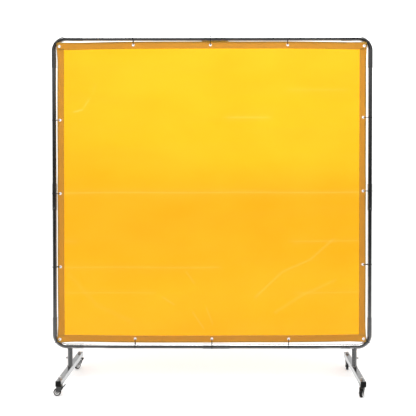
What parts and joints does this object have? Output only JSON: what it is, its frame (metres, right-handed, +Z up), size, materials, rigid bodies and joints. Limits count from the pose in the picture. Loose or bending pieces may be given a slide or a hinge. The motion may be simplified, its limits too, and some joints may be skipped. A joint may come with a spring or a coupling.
{
  "type": "welding curtain screen",
  "caption": "Free-standing welding screen: amber vinyl curtain with eyelets tied inside a round-cornered tube frame, on two square-tube feet with braked swivel casters.",
  "frame": {"origin": "on the floor, at the middle of the object's footprint, below the middle of the screen", "axes": "+Z up, +X to the right along the screen, -Y towards the front"},
  "size_m": [1.8328, 0.5, 1.9754],
  "materials": {
    "polished_steel_fittings": "polished, a little hazy",
    "polished_steel_tube": "polished",
    "button_steel": "polished",
    "spring_steel": "oiled spring steel",
    "brushed_steel_posts": "brushed, uncoated",
    "polished_steel_feet": "polished",
    "black_plastic": "moulded, satin",
    "zinc_hardware": "bright zinc plate",
    "caster_steel": "bright zinc plate",
    "caster_tread": "matt elastomer",
    "caster_hub": "moulded, satin",
    "brake_pedal": "moulded, satin",
    "amber_vinyl": "translucent soft vinyl film, glossy",
    "amber_vinyl_hem": "two more layers of the same film, welded",
    "grommet_metal": "nickel-washed eyelets",
    "black_nylon": "moulded nylon"
  },
  "bodies": {
    "frame": {"bottom_rail_left": "polished_steel_tube", "bottom_rail_right": "polished_steel_tube", "button_springs": "spring_steel", "cable_ties": "black_nylon", "caster_nuts": "zinc_hardware", "caster_races": "zinc_hardware", "caster_stems": "zinc_hardware", "caster_washers": "zinc_hardware", "curtain_hem": "amber_vinyl_hem", "curtain_sheet": "amber_vinyl", "elbow_bottom_left": "polished_steel_fittings", "elbow_bottom_right": "polished_steel_fittings", "elbow_stub_left": "polished_steel_tube", "elbow_stub_right": "polished_steel_tube", "elbow_top_left": "polished_steel_fittings", "elbow_top_right": "polished_steel_fittings", "foot_end_caps": "black_plastic", "foot_left": "polished_steel_feet", "foot_right": "polished_steel_feet", "grommets": "grommet_metal", "post_left": "brushed_steel_posts", "post_lock_bolts": "zinc_hardware", "post_right": "brushed_steel_posts", "post_weld_nuts": "zinc_hardware", "side_tube_left_lower": "polished_steel_tube", "side_tube_left_upper": "polished_steel_tube", "side_tube_right_lower": "polished_steel_tube", "side_tube_right_upper": "polished_steel_tube", "sleeve_bottom": "polished_steel_fittings", "sleeve_left": "polished_steel_fittings", "sleeve_right": "polished_steel_fittings", "sleeve_top": "polished_steel_fittings", "top_rail_left": "polished_steel_tube", "top_rail_right": "polished_steel_tube"},
    "caster_front_left": {"fork_front_left": "caster_steel", "axle_front_left": "caster_steel"},
    "wheel_front_left": {"tyre_front_left": "caster_tread", "hub_front_left": "caster_hub"},
    "brake_front_left": {"brake_pedal_front_left": "brake_pedal"},
    "caster_front_right": {"fork_front_right": "caster_steel", "axle_front_right": "caster_steel"},
    "wheel_front_right": {"tyre_front_right": "caster_tread", "hub_front_right": "caster_hub"},
    "brake_front_right": {"brake_pedal_front_right": "brake_pedal"},
    "caster_rear_left": {"fork_rear_left": "caster_steel", "axle_rear_left": "caster_steel"},
    "wheel_rear_left": {"tyre_rear_left": "caster_tread", "hub_rear_left": "caster_hub"},
    "brake_rear_left": {"brake_pedal_rear_left": "brake_pedal"},
    "caster_rear_right": {"fork_rear_right": "caster_steel", "axle_rear_right": "caster_steel"},
    "wheel_rear_right": {"tyre_rear_right": "caster_tread", "hub_rear_right": "caster_hub"},
    "brake_rear_right": {"brake_pedal_rear_right": "brake_pedal"},
    "button_left": {"snap_button_left": "button_steel"},
    "button_right": {"snap_button_right": "button_steel"},
    "button_top": {"snap_button_top": "button_steel"},
    "button_bottom": {"snap_button_bottom": "button_steel"}
  },
  "joints": [
    {"name": "swivel_front_left", "type": "hinge", "parent": "frame", "child": "caster_front_left", "pos_m": [-0.815, -0.214, 0.05], "axis": [0, 0, 1], "continuous": true},
    {"name": "roll_front_left", "type": "hinge", "parent": "caster_front_left", "child": "wheel_front_left", "pos_m": [-0.829, -0.214, 0.02], "axis": [0, 1, 0], "continuous": true},
    {"name": "brake_front_left", "type": "hinge", "parent": "caster_front_left", "child": "brake_front_left", "pos_m": [-0.805, -0.214, 0.038], "axis": [0, 1, 0], "range_deg": [0, 30]},
    {"name": "swivel_front_right", "type": "hinge", "parent": "frame", "child": "caster_front_right", "pos_m": [0.815, -0.214, 0.05], "axis": [0, 0, 1], "continuous": true},
    {"name": "roll_front_right", "type": "hinge", "parent": "caster_front_right", "child": "wheel_front_right", "pos_m": [0.80868, -0.22649, 0.02], "axis": [-0.8924, 0.4512, 0], "continuous": true},
    {"name": "brake_front_right", "type": "hinge", "parent": "caster_front_right", "child": "brake_front_right", "pos_m": [0.81951, -0.20508, 0.038], "axis": [-0.8924, 0.4512, 0], "range_deg": [0, 30]},
    {"name": "swivel_rear_left", "type": "hinge", "parent": "frame", "child": "caster_rear_left", "pos_m": [-0.815, 0.214, 0.05], "axis": [0, 0, 1], "continuous": true},
    {"name": "roll_rear_left", "type": "hinge", "parent": "caster_rear_left", "child": "wheel_rear_left", "pos_m": [-0.82299, 0.2025, 0.02], "axis": [-0.8211, 0.5708, 0], "continuous": true},
    {"name": "brake_rear_left", "type": "hinge", "parent": "caster_rear_left", "child": "brake_rear_left", "pos_m": [-0.80929, 0.22221, 0.038], "axis": [-0.8211, 0.5708, 0], "range_deg": [0, 30]},
    {"name": "swivel_rear_right", "type": "hinge", "parent": "frame", "child": "caster_rear_right", "pos_m": [0.815, 0.214, 0.05], "axis": [0, 0, 1], "continuous": true},
    {"name": "roll_rear_right", "type": "hinge", "parent": "caster_rear_right", "child": "wheel_rear_right", "pos_m": [0.8122, 0.20028, 0.02], "axis": [-0.9798, 0.2, 0], "continuous": true},
    {"name": "brake_rear_right", "type": "hinge", "parent": "caster_rear_right", "child": "brake_rear_right", "pos_m": [0.817, 0.2238, 0.038], "axis": [-0.9798, 0.2, 0], "range_deg": [0, 30]},
    {"name": "button_press_left", "type": "slide", "parent": "frame", "child": "button_left", "axis": [0, 1, 0], "range_m": [0, 0.0045], "stiffness_N_per_m": 1500, "springref_m": -0.003, "deforming": ["button_springs"]},
    {"name": "button_press_right", "type": "slide", "parent": "frame", "child": "button_right", "axis": [0, 1, 0], "range_m": [0, 0.0045], "stiffness_N_per_m": 1500, "springref_m": -0.003, "deforming": ["button_springs"]},
    {"name": "button_press_top", "type": "slide", "parent": "frame", "child": "button_top", "axis": [0, -1, 0], "range_m": [0, 0.0045], "stiffness_N_per_m": 1500, "springref_m": -0.003, "deforming": ["button_springs"]},
    {"name": "button_press_bottom", "type": "slide", "parent": "frame", "child": "button_bottom", "axis": [0, -1, 0], "range_m": [0, 0.0045], "stiffness_N_per_m": 1500, "springref_m": -0.003, "deforming": ["button_springs"]}
  ]
}
